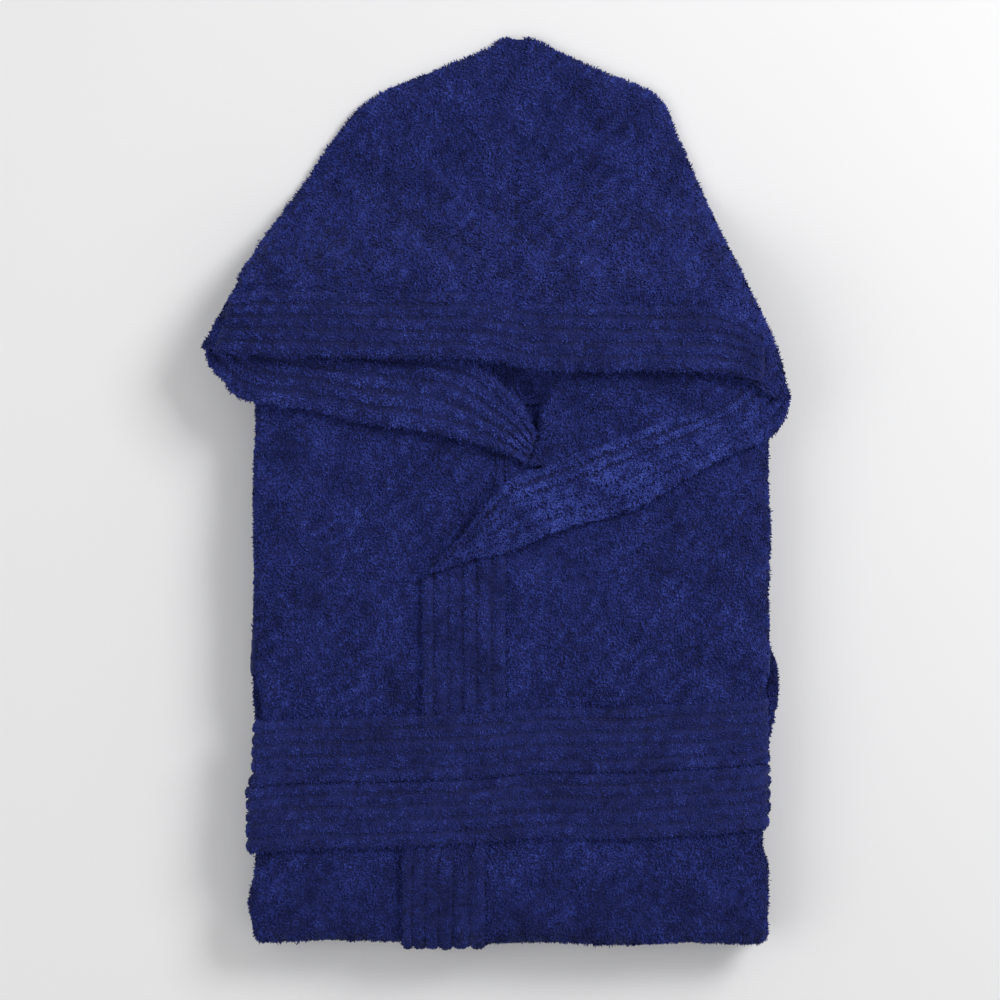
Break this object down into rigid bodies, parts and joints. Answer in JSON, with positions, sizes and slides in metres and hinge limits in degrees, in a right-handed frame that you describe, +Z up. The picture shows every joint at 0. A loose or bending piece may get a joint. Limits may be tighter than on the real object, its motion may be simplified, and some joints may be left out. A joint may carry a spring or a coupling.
{
  "type": "folded hooded bathrobe",
  "caption": "Hooded terry-towelling bathrobe, folded flat and lying face up, with a stitched belt wound round it.",
  "frame": {"origin": "middle of the footprint's bounding box, on the surface that the robe lies on", "axes": "+Z up, out of the robe's face; +Y from the bottom fold to the tip of the hood; +X to the right looking down, the wearer's left"},
  "size_m": [0.408, 0.634, 0.0614],
  "materials": {
    "terry_towelling": "matte looped cotton pile, navy",
    "stitched_terry_band": "looped cotton pile pressed into channels by rows of stitching, navy",
    "cotton_tape": "flat woven cotton, navy"
  },
  "bodies": {
    "robe": {"back_panel": "terry_towelling", "left_front_panel": "terry_towelling", "right_front_panel": "terry_towelling", "left_front_band": "stitched_terry_band", "right_front_band": "stitched_terry_band", "left_collar_band": "stitched_terry_band", "right_collar_band": "stitched_terry_band", "neck_facing": "terry_towelling", "hanging_loop": "cotton_tape", "left_pocket": "terry_towelling", "left_pocket_band": "stitched_terry_band", "right_pocket": "terry_towelling", "right_pocket_band": "stitched_terry_band", "left_belt_loop": "cotton_tape", "right_belt_loop": "cotton_tape"},
    "hood": {"hood_left_half": "terry_towelling", "hood_right_half": "terry_towelling", "hood_band": "stitched_terry_band"},
    "belt_wrap": {"belt": "stitched_terry_band"},
    "left_arm": {"left_sleeve": "terry_towelling", "left_cuff": "stitched_terry_band"},
    "right_arm": {"right_sleeve": "terry_towelling", "right_cuff": "stitched_terry_band"}
  },
  "joints": [
    {"name": "hood_fold", "type": "hinge", "parent": "robe", "child": "hood", "pos_m": [0, 0.0615, 0.0618], "axis": [1, 0, 0], "range_deg": [0, 180]},
    {"name": "belt_slide", "type": "slide", "parent": "robe", "child": "belt_wrap", "axis": [0, -1, 0], "range_m": [0, 0.18]},
    {"name": "left_sleeve_swing", "type": "hinge", "parent": "robe", "child": "left_arm", "pos_m": [0.15, 0.06, 0.0022], "axis": [0, 0, 1], "range_deg": [0, 90]},
    {"name": "right_sleeve_swing", "type": "hinge", "parent": "robe", "child": "right_arm", "pos_m": [-0.128, 0.06, 0.0022], "axis": [0, 0, -1], "range_deg": [0, 90]}
  ]
}
